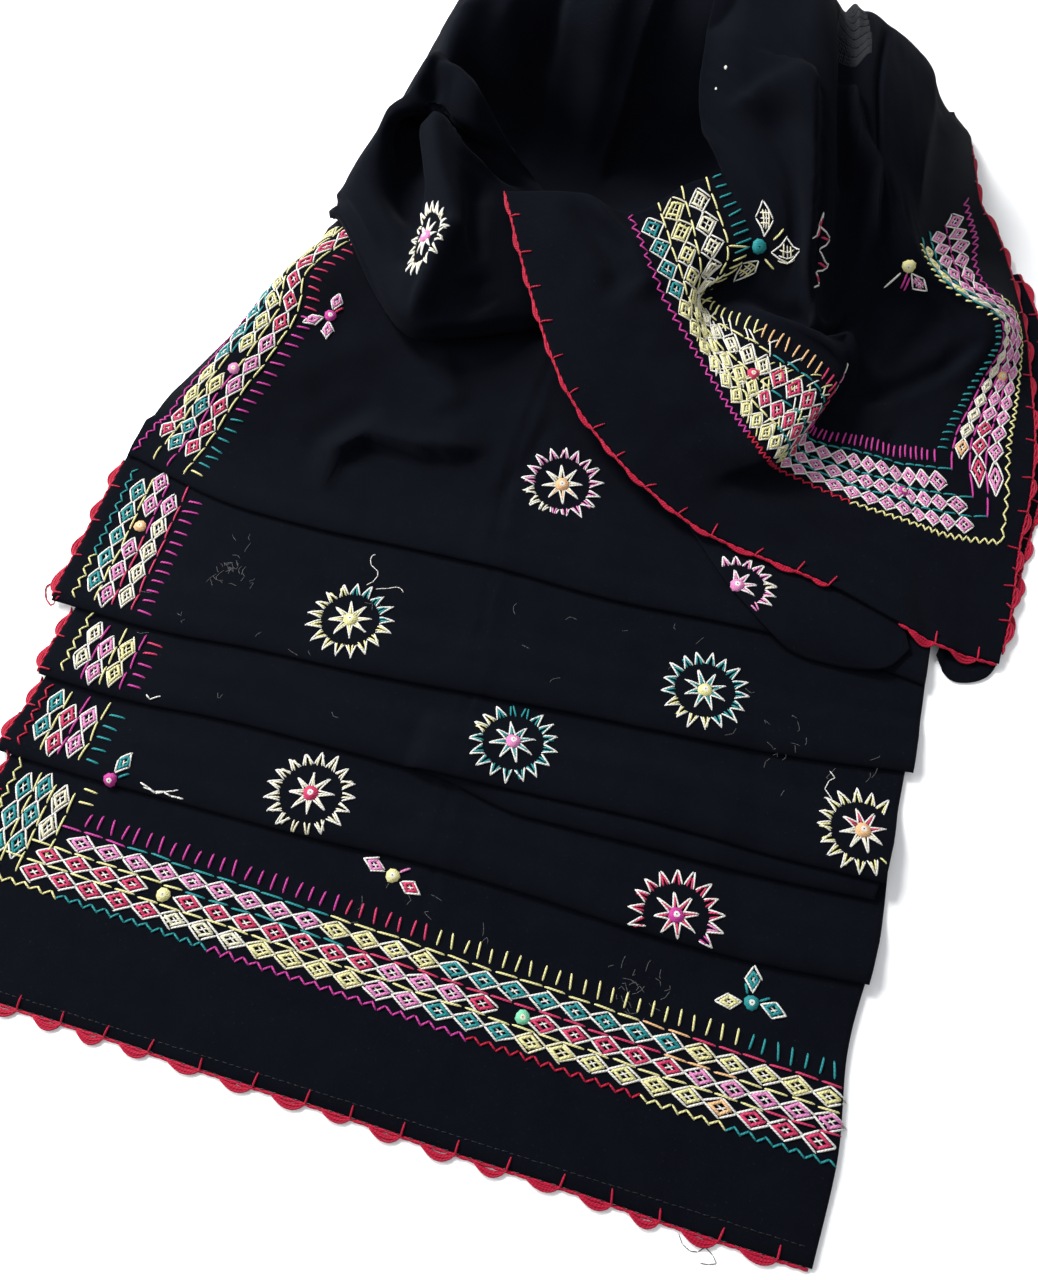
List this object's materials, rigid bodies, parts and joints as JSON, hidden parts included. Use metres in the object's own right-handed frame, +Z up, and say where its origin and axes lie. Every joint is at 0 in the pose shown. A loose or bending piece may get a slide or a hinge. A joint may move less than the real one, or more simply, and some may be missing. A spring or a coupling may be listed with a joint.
{
  "type": "embroidered shawl",
  "caption": "Black cotton shawl doubled lengthwise and laid down: one end in knife pleats, the middle heaped in an open fold, the other end falling forward as a flap; stitched borders, scalloped edging.",
  "frame": {"origin": "middle of the bounding box, on the surface that the shawl lies on", "axes": "+X along the hem towards the lengthwise fold, +Y from the pleated end's hem to the heap, +Z up"},
  "size_m": [0.5057, 0.721, 0.11],
  "materials": {
    "black_cotton": "matte, finely woven blue-black cotton, soft folds",
    "red_edging": "crimson cotton thread, crocheted in scallops",
    "embroidery": "stranded cotton stitches in cream, yellow, pink, magenta, red and teal"
  },
  "bodies": {
    "root": {"hem_panel": "black_cotton", "pleat_one": "black_cotton", "pleat_two": "black_cotton", "pleat_three": "black_cotton", "pleat_four": "black_cotton", "upper_panel": "black_cotton", "cowl": "black_cotton", "hood": "black_cotton", "flap": "black_cotton", "flap_under_front": "black_cotton", "flap_under_side": "black_cotton", "heap_core": "black_cotton", "hem_edging": "red_edging", "left_edging_hem": "red_edging", "left_edging_one": "red_edging", "left_edging_three": "red_edging", "left_edging_four": "red_edging", "flap_hem_edging": "red_edging", "flap_corner_edging": "red_edging", "under_side_edging": "red_edging"}
  },
  "joints": []
}
